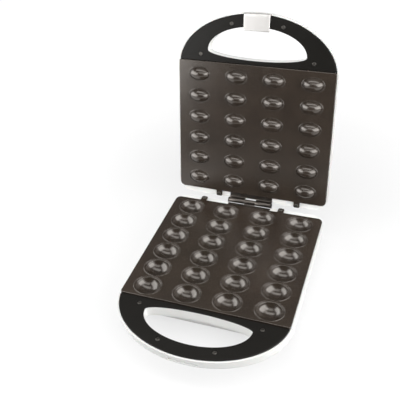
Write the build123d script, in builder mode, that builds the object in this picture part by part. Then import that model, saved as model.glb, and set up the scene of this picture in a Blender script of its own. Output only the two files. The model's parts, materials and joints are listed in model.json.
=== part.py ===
# Electric nut cookie maker: a base and a hinged lid, each a white casing with a closed loop
# handle, a black inner frame, a cast cooking plate and what heats it. Millimetres, +Z up.
#
# Each half is drawn in its own frame: the origin is the middle of the plate's face, +Y runs
# towards the handle and +Z runs into the casing. Each piece is then placed on its half's plane.

from math import cos, radians, sin, sqrt, tan
import os

from build123d import *

os.makedirs("parts", exist_ok=True)

# Cooking plates
plate_width = 250.0
plate_length = 216.0
plate_thickness = 3.2
plate_back_corner = 8.0
plate_front_corner = 2.5
mould_columns = 4
mould_rows = 6
column_pitch = 60.5
row_pitch = 35.0
ledge_length = 43.0
ledge_width = 34.6
ledge_depth = 0.9
well_length = 37.6
well_width = 31.2
well_depth = 12.0
bump_length = 32.0
bump_width = 20.4
bump_height = 8.5
hollow_depth = 4.8
ring_length = 35.2
ring_width = 23.2
ring_groove = 0.6
ring_depth = 0.35
cast_wall = 2.6
skirt_width = 234.0
skirt_length = 200.0
skirt_depth = 10.0
skirt_wall = 2.4
skirt_corner = 6.0
ear_places = (-78.0, 55.0)
ear_width = 10.0
ear_reach = 9.6
ear_screw = -113.0
ear_gap = 0.15
tongue_places = (-72.0, 72.0)
tongue_width = 14.0
tongue_top = 4.4
tongue_thickness = 2.0
tongue_reach = 112.0
plate_overlap = 2.0

# Casings
casing_wall = 2.5
casing_half_width = 127.5
casing_back = 118.0
casing_front = 110.0
casing_corner = 24.0
casing_front_corner = 18.0
rim_depth = 4.0
casing_draft = 5.0
floor_round = 12.0
crown_radius = 1300.0
base_casing_depth = 45.0
lid_casing_depth = 41.0
deck_thickness = 2.5
deck_front = -105.0
boss_radius = 3.8
boss_hole_depth = 12.0
floor_bite = 2.0
standoff_places = ((-60.0, -75.0), (60.0, -75.0), (-60.0, 75.0), (60.0, 75.0))
standoff_radius = 4.0
standoff_hole_depth = 8.0

# Loop handles
arc_centre = 100.0
frame_half_width = 124.5
frame_reach = 184.7
frame_back = 108.3
frame_face = 1.5
frame_thickness = 2.5
frame_corner = 2.0
opening_centre = 126.0
opening_half_width = 78.0
opening_outer = 39.5
opening_inner = 11.5
lining_wall = 2.0
handle_reach = 186.5
handle_start = 60.0
handle_depth = 20.5
handle_draft = 3.0
handle_round = 4.0
frame_screw_places = ((-89.5, 118.5), (89.5, 118.5), (-40.0, 168.0), (40.0, 168.0))

# Screws
small_head = 2.9
small_shank = 1.25
large_head = 3.0
large_shank = 1.5
head_height = 1.0
tall_head_height = 1.9
drive_width = 0.8
screw_length = 10.0
short_screw_length = 6.5
hole_gap = 0.05
clearance_gap = 0.35
drive_span = 1.2
overrun = 1.0
beyond = 300.0

# Hinge, about an axis behind both plates
hinge_back = 120.3
hinge_drop = 1.0
closed_gap = 1.0
lid_open_angle = 106.5
barrel_radius = 4.0
barrel_half_length = 36.0
middle_knuckle = 9.0
knuckle_gap = 0.4
pin_radius = 2.3
pin_head_radius = 4.3
pin_head = 1.2
pin_play = 0.3
running_clearance = 0.05
leaf_thickness = 1.5
leaf_top = 3.5
leaf_back = -115.8
leaf_front = -105.2
hinge_screw_places = ((-22.0, -110.2), (22.0, -110.2))
countersink_radius = 2.7
recess_half_width = 38.5
recess_radius = 4.6
hinge_block_depth = 13.5
hinge_block_side = 2.0
leaf_side_gap = 0.5
leaf_seat_reach = 25.0

# Latch clip on the lid's handle
latch_half_width = 20.0
latch_notch = 20.7
latch_pivot_reach = 181.5
latch_pivot_depth = 6.3
latch_pin_radius = 1.5
latch_knuckle = 4.2
latch_outer_face = -1.5
latch_inner_face = 0.9
latch_end = 22.0
latch_lip = 2.4
latch_lip_depth = 4.6
latch_bend = 3.9
latch_tip_round = 1.5
notch_start = 176.5
notch_depth = 13.5
notch_reach = 20.0
cheek_thickness = 3.0
cheek_length = 7.0
catch_top = 11.3
catch_bottom = 15.7
catch_half_width = 21.0
catch_depth = 5.0
catch_wall = 1.5

# Heaters and what is round them
element_radius = 3.25
element_bend = 18.0
element_turn = 84.0
element_inner_turn = 66.0
element_back = 94.0
element_end = 24.0
terminal_radius = 1.5
terminal_length = 8.0
strap_place = 52.5
strap_length = 72.0
strap_width = 12.0
strap_thickness = 1.2
post_radius = 4.0
post_hole_depth = 6.0
lower_element_depth = 18.1
upper_element_depth = 6.8
tray_width = 236.0
tray_length = 203.0
tray_sheet = 0.8
tray_rim = 9.0
tray_corner = 8.0
tray_slot_width = 10.0
lower_tray_depth = 26.0
upper_tray_depth = 20.0
wire_radius = 1.2
wire_bend = 3.0
wire_drop = 8.0
wire_spread = 2.0
terminal_spread = 3.0
wire_gap = 0.4
supply_turn = -104.2
lamp_wire_depth = 26.0
thermostat_radius = 7.6
thermostat_height = 8.0
thermostat_pad = 14.0
blade_place = 4.0
blade_size = (0.8, 5.0, 3.0)
fuse_radius = 2.4
fuse_length = 16.0
fuse_place = -35.0
block_length = 40.0
block_width = 16.0
block_height = 10.0
block_place = -78.0
block_corner = 1.5
clamp_pitch = (10.0, 8.0)
clamp_count = (4, 2)
clamp_radius = 2.0
clamp_depth = 3.0

# Cord gland in the back wall
gland_place = -47.0
gland_depth = 24.0
gland_radius = 6.0
gland_flange = 9.0
gland_flange_thickness = 3.0
gland_inside = 8.0
cord_bore = 3.4
cord_bore_depth = 7.0
gland_edge = 1.2
gland_cut = 6.0

# Indicator lamps in the lid
lamp_places = (-16.0, 16.0)
lamp_reach = 70.0
lens_radius = 5.0
lens_flange = 6.4
lens_bore = 3.6
lens_body = 5.0
lens_rim = 1.2
lens_edge = 1.0
lens_hollow = 4.25
lens_gap = 0.1
lamp_radius = 2.6
lamp_height = 6.0
lamp_board_depth = 32.0
lamp_board_thickness = 1.6
lamp_board_length = 70.0
lamp_board_width = 14.0
lamp_hole_depth = 4.5
lamp_screw_length = 5.5
lamp_board_screws = ((-29.0, 70.0), (29.0, 70.0))

# Feet
foot_height = 5.0
foot_radius = 8.0
foot_peg = 2.4
foot_hole_depth = 4.0
foot_edge = 1.2
foot_across = 96.0
foot_along = 82.0
foot_middle = -6.0

# The half planes, and the standing envelope's middle over the origin
face_height = foot_height + base_casing_depth
grid_y = -20.7
base_plane = Plane(origin=(0, grid_y, face_height), x_dir=(1, 0, 0), z_dir=(0, 0, -1))
closed_lid_plane = Plane(
    origin=(0, grid_y, face_height + closed_gap), x_dir=(-1, 0, 0), z_dir=(0, 0, 1)
)
hinge_y = grid_y + hinge_back
hinge_z = face_height - hinge_drop
opening_turn = (
    Pos(0, hinge_y, hinge_z) * Rot(-lid_open_angle, 0, 0) * Pos(0, -hinge_y, -hinge_z)
)
lid_plane = Plane(opening_turn * closed_lid_plane.location)
base_hinge_depth = hinge_drop
lid_hinge_depth = -closed_gap - hinge_drop

white = (0.93, 0.93, 0.92)
black = (0.12, 0.12, 0.11)
coated = (0.26, 0.24, 0.22)
steel = (0.72, 0.72, 0.72)
brown = (0.45, 0.3, 0.2)


def write(piece, plane, name, colour):
    """Places a piece on its half's plane, names it and writes it."""
    with BuildPart(plane) as placed:
        add(piece)
    placed.part.label = name
    placed.part.color = Color(*colour)
    export_step(placed.part, f"parts/{name}.step")


def middle(low, high):
    """The middle of a stretch."""
    return (low + high) / 2


def face_plane(depth):
    """The plane at this depth behind the face."""
    return Plane.XY.offset(depth)


# Outlines in the plane of a half's face

def casing_outline(inset):
    """The body's outline, with round back corners and tighter ones under the handle."""
    side = casing_half_width - inset
    back = casing_back - inset
    front = casing_front - inset
    with BuildSketch() as outline:
        with BuildLine():
            Polyline((-side, front), (-side, -back), (side, -back), (side, front), close=True)
        make_face()
        fillet(outline.vertices().group_by(Axis.Y)[0], casing_corner - inset)
        fillet(outline.vertices().group_by(Axis.Y)[-1], casing_front_corner - inset)
    return outline.sketch


def handle_outline(inset):
    """The handle's outline: straight sides that run into half an ellipse."""
    side = casing_half_width - inset
    reach = handle_reach - arc_centre - inset
    with BuildSketch() as outline:
        with BuildLine():
            EllipticalCenterArc((0, arc_centre), side, reach, arc_size=180)
            Polyline(
                (-side, arc_centre), (-side, handle_start), (side, handle_start), (side, arc_centre)
            )
        make_face()
    return outline.sketch


def opening_outline(grow):
    """The finger opening: a shallow half ellipse by the plate and a deeper one outwards."""
    half = opening_half_width + grow
    centre = (0, opening_centre)
    with BuildSketch() as outline:
        with BuildLine():
            EllipticalCenterArc(centre, half, opening_outer + grow, arc_size=180)
            EllipticalCenterArc(centre, half, opening_inner + grow, 180, arc_size=180)
        make_face()
    return outline.sketch


def frame_outline():
    """The black frame's outline: an ellipse's end, square to the plate, round the opening."""
    opening = opening_outline(0)
    with BuildSketch() as outline:
        with Locations((0, arc_centre)):
            Ellipse(frame_half_width, frame_reach - arc_centre)
        with Locations((0, frame_back)):
            Rectangle(beyond, beyond, align=(Align.CENTER, Align.MAX), mode=Mode.SUBTRACT)
        fillet(outline.vertices().group_by(Axis.Y)[0], frame_corner)
        add(opening, mode=Mode.SUBTRACT)
    return outline.sketch


# Volumes

def drafted(outline, inset, low, high, draft):
    """A solid between two depths whose outline draws in by the draft on the way down."""
    top = outline(inset)
    bottom = outline(inset + (high - low) * tan(radians(draft)))
    with BuildPart() as form:
        with BuildSketch(face_plane(low)):
            add(top)
        with BuildSketch(face_plane(high)):
            add(bottom)
        loft(ruled=True)
    return form.part


def body_form(depth, inset, crowned):
    """The body's volume from the rim down, rounded at its floor, which may be crowned."""
    block = drafted(casing_outline, inset, rim_depth, depth - inset, casing_draft)
    with BuildPart() as form:
        add(block)
        if crowned:
            with BuildSketch(Plane.XZ):
                with Locations((0, depth - inset - crown_radius)):
                    Circle(crown_radius)
            extrude(amount=beyond, both=True, mode=Mode.INTERSECT)
        fillet(form.faces().sort_by(Axis.Z)[-1].edges(), floor_round - inset)
    return form.part


def handle_form(inset):
    """The handle's volume from the rim down, rounded at its lower edge."""
    block = drafted(handle_outline, inset, rim_depth, handle_depth - inset, handle_draft)
    with BuildPart() as form:
        add(block)
        low = form.faces().sort_by(Axis.Z)[-1].edges()
        fillet(low.filter_by(lambda edge: edge.center().Y > handle_start + overrun), handle_round - inset)
    return form.part


def spheroid(length, width, depth):
    """A solid of revolution about X that is length by width in the face and this deep."""
    rise = ((width / 2) ** 2 / depth - depth) / 2
    radius = depth + rise
    half = length / 2 / sqrt(1 - (rise / radius) ** 2)
    with BuildPart() as form:
        with BuildSketch():
            with BuildLine():
                EllipticalCenterArc((0, 0), half, radius, arc_size=180)
                Line((-half, 0), (half, 0))
            make_face()
        revolve(axis=Axis.X)
    return Pos(0, 0, -rise) * form.part


def bowl_end(length, width, depth):
    """The part of a spheroid that lies past the face."""
    whole = spheroid(length, width, depth)
    with BuildPart() as form:
        add(whole)
        split(bisect_by=Plane.XY, keep=Keep.TOP)
    return form.part


def rod(places, radius, low, high):
    """Equal rods between two depths."""
    with BuildPart() as group:
        with Locations(*[(u, v, middle(low, high)) for u, v in places]):
            Cylinder(radius, high - low)
    return group.part


# Casings

def casing(depth, tray_depth, crowned):
    """A hollow casing with a handle channel, a back deck and screw bosses."""
    outer = body_form(depth, 0, crowned)
    inner = body_form(depth, casing_wall, crowned)
    handle = handle_form(0)
    channel = handle_form(casing_wall)
    lining = opening_outline(lining_wall)
    opening = opening_outline(0)
    deck_outline = casing_outline(casing_wall / 2)
    ear_screws = [(u, ear_screw) for u in ear_places]
    frame_back_face = frame_face + frame_thickness
    frame_bosses = rod(
        frame_screw_places, boss_radius, frame_back_face, handle_depth - overrun
    )
    ear_bosses = rod(ear_screws, boss_radius, plate_thickness, plate_thickness + boss_hole_depth)
    standoffs = rod(standoff_places, standoff_radius, tray_depth + tray_sheet, depth - floor_bite)
    frame_holes = rod(frame_screw_places, small_shank, rim_depth - overrun, rim_depth + boss_hole_depth)
    ear_holes = rod(ear_screws, large_shank + hole_gap, plate_thickness - overrun, boss_hole_depth)
    hinge_holes = rod(hinge_screw_places, small_shank + hole_gap, leaf_top, boss_hole_depth)
    tray_holes = rod(
        standoff_places, small_shank + hole_gap, tray_depth, tray_depth + standoff_hole_depth
    )
    leaf_tip = leaf_top + leaf_thickness
    with BuildPart() as shell:
        add(outer)
        add(handle)
        add(inner, mode=Mode.SUBTRACT)
        add(channel, mode=Mode.SUBTRACT)
        with BuildSketch(face_plane(rim_depth)):
            add(lining)
        extrude(amount=handle_depth - rim_depth)
        with BuildSketch():
            add(opening)
        extrude(amount=handle_depth + overrun, mode=Mode.SUBTRACT)
        with BuildSketch(face_plane(rim_depth)):
            add(deck_outline)
            with Locations((0, deck_front)):
                Rectangle(beyond, beyond, align=(Align.CENTER, Align.MIN), mode=Mode.SUBTRACT)
        extrude(amount=deck_thickness)
        with Locations((0, deck_front, leaf_tip)):
            Box(
                2 * (barrel_half_length + hinge_block_side),
                casing_back - casing_wall + deck_front + overrun,
                hinge_block_depth - leaf_tip,
                align=(Align.CENTER, Align.MAX, Align.MIN),
            )
        add(frame_bosses)
        add(ear_bosses)
        add(standoffs)
        # Room for the hinge barrel, and the seat of the hinge leaf
        with BuildSketch(Plane.YZ):
            with Locations((-hinge_back, base_hinge_depth)):
                Circle(recess_radius)
        extrude(amount=recess_half_width, both=True, mode=Mode.SUBTRACT)
        with Locations((0, leaf_front, rim_depth - overrun)):
            Box(
                2 * (barrel_half_length + leaf_side_gap),
                leaf_seat_reach,
                leaf_tip - rim_depth + overrun,
                align=(Align.CENTER, Align.MAX, Align.MIN),
                mode=Mode.SUBTRACT,
            )
        add(frame_holes, mode=Mode.SUBTRACT)
        add(ear_holes, mode=Mode.SUBTRACT)
        add(hinge_holes, mode=Mode.SUBTRACT)
        add(tray_holes, mode=Mode.SUBTRACT)
    return shell.part


# The outside face of the back wall at the gland, which leans with the draft
gland_plane = Plane(
    origin=(
        gland_place,
        -casing_back + (gland_depth - rim_depth) * tan(radians(casing_draft)),
        gland_depth,
    ),
    x_dir=(1, 0, 0),
    z_dir=(0, -cos(radians(casing_draft)), sin(radians(casing_draft))),
)

plain_base = casing(base_casing_depth, lower_tray_depth, False)
with BuildPart() as base_shell:
    add(plain_base)
    # The catch for the latch clip, a walled pocket in the handle's outer wall
    with Locations((0, handle_reach - casing_wall / 2, middle(catch_top, catch_bottom))):
        Box(
            2 * (catch_half_width + catch_wall),
            catch_depth + catch_wall - casing_wall / 2,
            catch_bottom - catch_top + 2 * catch_wall,
            align=(Align.CENTER, Align.MAX, Align.CENTER),
        )
    with Locations((0, handle_reach, middle(catch_top, catch_bottom))):
        Box(
            2 * catch_half_width, 2 * catch_depth, catch_bottom - catch_top, mode=Mode.SUBTRACT
        )
    with BuildSketch(gland_plane):
        Circle(gland_radius)
    extrude(amount=gland_cut, both=True, mode=Mode.SUBTRACT)
    with Locations((0, foot_middle, base_casing_depth)):
        with GridLocations(2 * foot_across, 2 * foot_along, 2, 2):
            Cylinder(foot_peg + hole_gap, 2 * foot_hole_depth, mode=Mode.SUBTRACT)
write(base_shell.part, base_plane, "base_shell", white)

plain_lid = casing(lid_casing_depth, upper_tray_depth, True)
lamp_board_places = [(u, lamp_reach) for u in lamp_places]
lamp_bosses = rod(lamp_board_screws, standoff_radius, lamp_board_depth, lid_casing_depth - floor_bite)
lamp_holes = rod(
    lamp_board_screws,
    small_shank + hole_gap,
    lamp_board_depth - overrun,
    lamp_board_depth + lamp_hole_depth,
)
lens_holes = rod(
    lamp_board_places,
    lens_radius + lens_gap,
    lid_casing_depth - lens_body - overrun,
    lid_casing_depth + lens_body,
)
with BuildPart() as lid_shell:
    add(plain_lid)
    # The latch clip's notch and the two cheeks that hold its pin
    with Locations((0, notch_start, notch_depth)):
        Box(
            2 * latch_notch,
            notch_reach,
            notch_depth,
            align=(Align.CENTER, Align.MIN, Align.MAX),
            mode=Mode.SUBTRACT,
        )
    with Locations(*[
        (s * (latch_notch + cheek_thickness / 2), notch_start, rim_depth) for s in (-1, 1)
    ]):
        Box(
            cheek_thickness,
            cheek_length,
            notch_depth - rim_depth,
            align=(Align.CENTER, Align.MIN, Align.MIN),
        )
    with BuildSketch(Plane.YZ):
        with Locations((latch_pivot_reach, latch_pivot_depth)):
            Circle(latch_pin_radius)
    extrude(amount=latch_notch + cheek_thickness, both=True, mode=Mode.SUBTRACT)
    add(lamp_bosses)
    add(lamp_holes, mode=Mode.SUBTRACT)
    add(lens_holes, mode=Mode.SUBTRACT)
write(lid_shell.part, lid_plane, "lid_shell", white)


# Handle frames

def handle_frame(notched):
    """The black frame round the finger opening, with counterbored screw holes."""
    outline = frame_outline()
    with BuildPart() as frame:
        with BuildSketch(face_plane(frame_face)):
            add(outline)
        extrude(amount=frame_thickness)
        if notched:
            with Locations((0, notch_start, frame_face)):
                Box(
                    2 * latch_notch,
                    notch_reach,
                    notch_depth,
                    align=(Align.CENTER, Align.MIN),
                    mode=Mode.SUBTRACT,
                )
        with Locations(*[(u, v, frame_face) for u, v in frame_screw_places]):
            Cylinder(small_head + clearance_gap, 2 * head_height, mode=Mode.SUBTRACT)
            Cylinder(small_shank + clearance_gap, screw_length, mode=Mode.SUBTRACT)
    return frame.part


write(handle_frame(False), base_plane, "base_handle_frame", black)
write(handle_frame(True), lid_plane, "lid_handle_frame", black)


# Screws

def screws(places, seat, height, head, shank, length, side=1):
    """Cross-recess screws with their heads on a seat, driven away from the face or towards it."""
    with BuildPart() as group:
        with Locations(*[(u, v, seat - side * height / 2) for u, v in places]):
            Cylinder(head, height)
        with Locations(*[(u, v, seat + side * length / 2) for u, v in places]):
            Cylinder(shank, length)
        with Locations(*[(u, v, seat - side * height) for u, v in places]):
            Box(head * drive_span, drive_width, height, mode=Mode.SUBTRACT)
            Box(drive_width, head * drive_span, height, mode=Mode.SUBTRACT)
    return group.part


def flush_screws(places, seat):
    """Countersunk cross-recess screws whose heads end level with the seat."""
    cross_length = small_head * drive_span
    with BuildPart() as group:
        with Locations(*[(u, v, seat + leaf_thickness / 2) for u, v in places]):
            Cone(countersink_radius - hole_gap, small_shank, leaf_thickness)
        with Locations(*[(u, v, seat + short_screw_length / 2) for u, v in places]):
            Cylinder(small_shank, short_screw_length)
        with Locations(*[(u, v, seat) for u, v in places]):
            Box(cross_length, drive_width, leaf_thickness, mode=Mode.SUBTRACT)
            Box(drive_width, cross_length, leaf_thickness, mode=Mode.SUBTRACT)
    return group.part


frame_seat = frame_face + head_height
small_screw = (head_height - 2 * hole_gap, small_head, small_shank)
frame_screws = screws(frame_screw_places, frame_seat, *small_screw, screw_length)
write(frame_screws, base_plane, "base_frame_screws", steel)
write(frame_screws, lid_plane, "lid_frame_screws", steel)
ear_screw_places = [(u, ear_screw) for u in ear_places]
plate_screws = screws(
    ear_screw_places, 0, tall_head_height, large_head, large_shank, screw_length
)
write(plate_screws, base_plane, "lower_plate_screws", steel)
write(plate_screws, lid_plane, "upper_plate_screws", steel)
hinge_screws = flush_screws(hinge_screw_places, leaf_top)
write(hinge_screws, base_plane, "hinge_base_screws", steel)
write(hinge_screws, lid_plane, "hinge_lid_screws", steel)


# Cooking plates

def plate_blank(element_depth):
    """A plate with its skirt, ears, tongues and the posts that carry the heater straps."""
    post_places = [(s * column_pitch, t * strap_place) for s in (-1, 1) for t in (-1, 1)]
    post_end = element_depth + element_radius
    posts = rod(post_places, post_radius, plate_thickness / 2, post_end)
    post_holes = rod(
        post_places, small_shank + hole_gap, post_end - post_hole_depth, post_end + overrun
    )
    ear_screws = [(u, ear_screw) for u in ear_places]
    ear_holes = rod(ear_screws, large_shank + ear_gap, -overrun, plate_thickness + overrun)
    with BuildPart() as blank:
        with BuildSketch() as sheet:
            Rectangle(plate_width, plate_length)
            fillet(sheet.vertices().group_by(Axis.Y)[0], plate_back_corner)
            fillet(sheet.vertices().group_by(Axis.Y)[-1], plate_front_corner)
            with Locations(*[(u, -plate_length / 2 + plate_overlap) for u in ear_places]):
                Rectangle(ear_width, ear_reach + plate_overlap, align=(Align.CENTER, Align.MAX))
        extrude(amount=plate_thickness)
        with BuildSketch(face_plane(plate_thickness / 2)):
            RectangleRounded(skirt_width, skirt_length, skirt_corner)
            RectangleRounded(
                skirt_width - 2 * skirt_wall,
                skirt_length - 2 * skirt_wall,
                skirt_corner - skirt_wall,
                mode=Mode.SUBTRACT,
            )
        extrude(amount=skirt_depth - plate_thickness / 2)
        with Locations(*[(u, tongue_reach, tongue_top) for u in tongue_places]):
            Box(
                tongue_width,
                tongue_reach - skirt_length / 2 + plate_overlap,
                tongue_thickness,
                align=(Align.CENTER, Align.MAX, Align.MIN),
            )
        add(posts)
        add(post_holes, mode=Mode.SUBTRACT)
        add(ear_holes, mode=Mode.SUBTRACT)
    return blank.part


lower_blank = plate_blank(lower_element_depth)
dome = bowl_end(well_length + 2 * cast_wall, well_width + 2 * cast_wall, well_depth + cast_wall)
well = spheroid(well_length, well_width, well_depth)
with BuildPart() as lower_plate:
    add(lower_blank)
    with GridLocations(column_pitch, row_pitch, mould_columns, mould_rows):
        add(dome)
    with Locations((0, 0, middle(plate_thickness / 2, thermostat_pad))):
        Cylinder(thermostat_radius, thermostat_pad - plate_thickness / 2)
    with BuildSketch():
        with GridLocations(column_pitch, row_pitch, mould_columns, mould_rows):
            Ellipse(ledge_length / 2, ledge_width / 2)
    extrude(amount=ledge_depth, mode=Mode.SUBTRACT)
    with GridLocations(column_pitch, row_pitch, mould_columns, mould_rows):
        add(well, mode=Mode.SUBTRACT)
write(lower_plate.part, base_plane, "lower_plate", coated)

upper_blank = plate_blank(upper_element_depth)
bump = Rot(180, 0, 0) * bowl_end(bump_length, bump_width, bump_height)
hollow = Rot(180, 0, 0) * spheroid(
    bump_length - 2 * cast_wall, bump_width - 2 * cast_wall, hollow_depth
)
with BuildPart() as upper_plate:
    add(upper_blank)
    with BuildSketch():
        with GridLocations(column_pitch, row_pitch, mould_columns, mould_rows):
            Ellipse(ring_length / 2, ring_width / 2)
            Ellipse(
                ring_length / 2 - ring_groove, ring_width / 2 - ring_groove, mode=Mode.SUBTRACT
            )
    extrude(amount=ring_depth, mode=Mode.SUBTRACT)
    with GridLocations(column_pitch, row_pitch, mould_columns, mould_rows):
        add(bump)
        add(hollow, mode=Mode.SUBTRACT)
write(upper_plate.part, lid_plane, "upper_plate", coated)


# Heaters, straps and reflectors

def heating_element(depth):
    """A sheathed heater bent so that one run passes behind each column of moulds."""
    outer = column_pitch * 1.5
    inner = column_pitch * 0.5
    corners = (
        (-element_end, -element_back, depth),
        (-outer, -element_back, depth),
        (-outer, element_turn, depth),
        (-inner, element_turn, depth),
        (-inner, -element_inner_turn, depth),
        (inner, -element_inner_turn, depth),
        (inner, element_turn, depth),
        (outer, element_turn, depth),
        (outer, -element_back, depth),
        (element_end, -element_back, depth),
    )
    with BuildPart() as element:
        with BuildLine():
            FilletPolyline(*corners, radius=element_bend)
        with BuildSketch(Plane(origin=corners[0], z_dir=(-1, 0, 0))):
            Circle(element_radius)
        sweep()
        with BuildSketch(Plane.YZ.offset(-element_end)):
            with Locations((-element_back, depth)):
                Circle(terminal_radius)
        extrude(amount=terminal_length)
        with BuildSketch(Plane.YZ.offset(element_end - terminal_length)):
            with Locations((-element_back, depth)):
                Circle(terminal_radius)
        extrude(amount=terminal_length)
    return element.part


def element_straps(depth):
    """Flat straps that hold two runs of the heater each."""
    with BuildPart() as straps:
        with Locations((0, 0, depth + element_radius + strap_thickness / 2)):
            with GridLocations(2 * column_pitch, 2 * strap_place, 2, 2):
                Box(strap_length, strap_width, strap_thickness)
                Cylinder(small_shank + clearance_gap, 2 * strap_thickness, mode=Mode.SUBTRACT)
    return straps.part


def reflector(depth):
    """A thin tray between the heater and the casing, slotted for the heater's wires."""
    holes = rod(standoff_places, small_shank + clearance_gap, depth - overrun, depth + 2 * overrun)
    with BuildPart() as tray:
        with BuildSketch(face_plane(depth - tray_rim)):
            RectangleRounded(tray_width, tray_length, tray_corner)
        extrude(amount=tray_rim + tray_sheet)
        with BuildSketch(face_plane(depth - tray_rim)):
            RectangleRounded(
                tray_width - 2 * tray_sheet, tray_length - 2 * tray_sheet, tray_corner - tray_sheet
            )
        extrude(amount=tray_rim, mode=Mode.SUBTRACT)
        with Locations((0, -element_back, depth)):
            Box(2 * element_end, tray_slot_width, 4 * overrun, mode=Mode.SUBTRACT)
        add(holes, mode=Mode.SUBTRACT)
    return tray.part


halves = (
    ("lower", base_plane, lower_element_depth, lower_tray_depth),
    ("upper", lid_plane, upper_element_depth, upper_tray_depth),
)
strap_places = [(s * column_pitch, t * strap_place) for s in (-1, 1) for t in (-1, 1)]
for half, plane, element_depth, tray_depth in halves:
    strap_face = element_depth + element_radius + strap_thickness
    strap_screws = screws(strap_places, strap_face, *small_screw, short_screw_length, side=-1)
    tray_screws = screws(standoff_places, tray_depth, *small_screw, short_screw_length)
    write(heating_element(element_depth), plane, f"{half}_heating_element", steel)
    write(element_straps(element_depth), plane, f"{half}_element_straps", steel)
    write(strap_screws, plane, f"{half}_strap_screws", steel)
    write(reflector(tray_depth), plane, f"{half}_reflector", steel)
    write(tray_screws, plane, f"{half}_reflector_screws", steel)


# Thermostat, fuse, terminal block, gland and wires

with BuildPart() as thermostat:
    with Locations((0, 0, thermostat_pad + thermostat_height / 2)):
        Cylinder(thermostat_radius, thermostat_height)
    with Locations(*[
        (s * blade_place, 0, thermostat_pad + thermostat_height) for s in (-1, 1)
    ]):
        Box(*blade_size, align=(Align.CENTER, Align.CENTER, Align.MIN))
write(thermostat.part, base_plane, "thermostat", brown)

with BuildPart() as thermal_fuse:
    with BuildSketch(Plane.XZ.offset(-fuse_place)):
        with Locations((0, plate_thickness + hole_gap + fuse_radius)):
            Circle(fuse_radius)
    extrude(amount=fuse_length / 2, both=True)
write(thermal_fuse.part, base_plane, "thermal_fuse", brown)

floor_depth = base_casing_depth - casing_wall
with BuildPart() as terminal_block:
    with Locations((0, block_place, floor_depth - block_height / 2)):
        Box(block_length, block_width, block_height)
    fillet(terminal_block.edges().filter_by(Axis.Z), block_corner)
    with Locations((0, block_place, floor_depth - block_height)):
        with GridLocations(*clamp_pitch, *clamp_count):
            Hole(clamp_radius, clamp_depth)
write(terminal_block.part, base_plane, "terminal_block", white)

with BuildPart() as cord_gland:
    with BuildSketch(gland_plane):
        Circle(gland_flange)
    extrude(amount=gland_flange_thickness)
    fillet(cord_gland.faces().sort_by(Axis.Y)[0].edges(), gland_edge)
    with BuildSketch(gland_plane):
        Circle(gland_radius - hole_gap)
    extrude(amount=-gland_inside)
    with BuildSketch(gland_plane.offset(gland_flange_thickness)):
        Circle(cord_bore)
    extrude(amount=-cord_bore_depth, mode=Mode.SUBTRACT)
write(cord_gland.part, base_plane, "cord_gland", black)


def wires(routes):
    """Wires through points, with rounded corners, as one group of separate solids."""
    with BuildPart() as group:
        for points in routes:
            with BuildLine():
                FilletPolyline(*points, radius=wire_bend)
            with BuildSketch(Plane(origin=points[0], z_dir=Vector(*points[1]) - Vector(*points[0]))):
                Circle(wire_radius)
            sweep()
    return group.part


terminal_face = element_end - terminal_length
block_level = floor_depth - block_height / 2
gland_end = gland_plane.offset(-gland_inside).origin
element_routes = [
    (
        (s * terminal_face, -element_back, lower_element_depth),
        (s * wire_drop, -element_back, lower_element_depth),
        (s * wire_drop, -element_back, block_level),
        (s * wire_drop, block_place - block_width / 2, block_level),
    )
    for s in (-1, 1)
]
supply_routes = [
    (
        (gland_place + s * wire_spread, gland_end.Y + wire_gap, gland_end.Z),
        (gland_place + s * wire_spread, supply_turn, gland_end.Z),
        (gland_place + s * wire_spread, supply_turn, block_level + s * wire_spread),
        (
            gland_place + s * wire_spread,
            block_place + s * terminal_spread,
            block_level + s * wire_spread,
        ),
        (-block_length / 2, block_place + s * terminal_spread, block_level + s * wire_spread),
    )
    for s in (-1, 1)
]
write(wires(element_routes + supply_routes), base_plane, "base_wires", black)


# Indicator lamps, their board and lenses in the lid

with BuildPart() as lamp_board:
    with Locations((0, lamp_reach, lamp_board_depth - lamp_board_thickness / 2)):
        Box(lamp_board_length, lamp_board_width, lamp_board_thickness)
    with Locations(*[(u, v, lamp_board_depth) for u, v in lamp_board_screws]):
        Cylinder(small_shank + clearance_gap, 4 * lamp_board_thickness, mode=Mode.SUBTRACT)
write(lamp_board.part, lid_plane, "lamp_board", brown)
board_face = lamp_board_depth - lamp_board_thickness
board_screws = screws(lamp_board_screws, board_face, *small_screw, lamp_screw_length)
write(board_screws, lid_plane, "lamp_board_screws", steel)

lamps = rod(lamp_board_places, lamp_radius, lamp_board_depth, lamp_board_depth + lamp_height)
write(lamps, lid_plane, "indicator_lamps", (0.9, 0.6, 0.3))

for name, place, colour in zip(
    ("power_lens", "ready_lens"), lamp_places, ((0.7, 0.1, 0.08), (0.1, 0.5, 0.15))
):
    with BuildPart() as lens:
        with Locations((place, lamp_reach, lid_casing_depth - lens_body / 2)):
            Cylinder(lens_radius, lens_body)
        with Locations((place, lamp_reach, lid_casing_depth + lens_rim / 2)):
            Cylinder(lens_flange, lens_rim)
        fillet(lens.faces().sort_by(Axis.Z)[-1].edges(), lens_edge)
        with Locations((place, lamp_reach, lid_casing_depth - lens_body)):
            Cylinder(lens_bore, 2 * lens_hollow, mode=Mode.SUBTRACT)
    write(lens.part, lid_plane, name, colour)

lamp_routes = [
    (
        (s * terminal_face, -element_back, upper_element_depth),
        (s * wire_drop, -element_back, upper_element_depth),
        (s * wire_drop, -element_back, lamp_wire_depth),
        (s * wire_drop, lamp_reach, lamp_wire_depth),
        (s * wire_drop, lamp_reach, board_face),
    )
    for s in (-1, 1)
]
write(wires(lamp_routes), lid_plane, "lid_wires", black)


# Hinge

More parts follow.
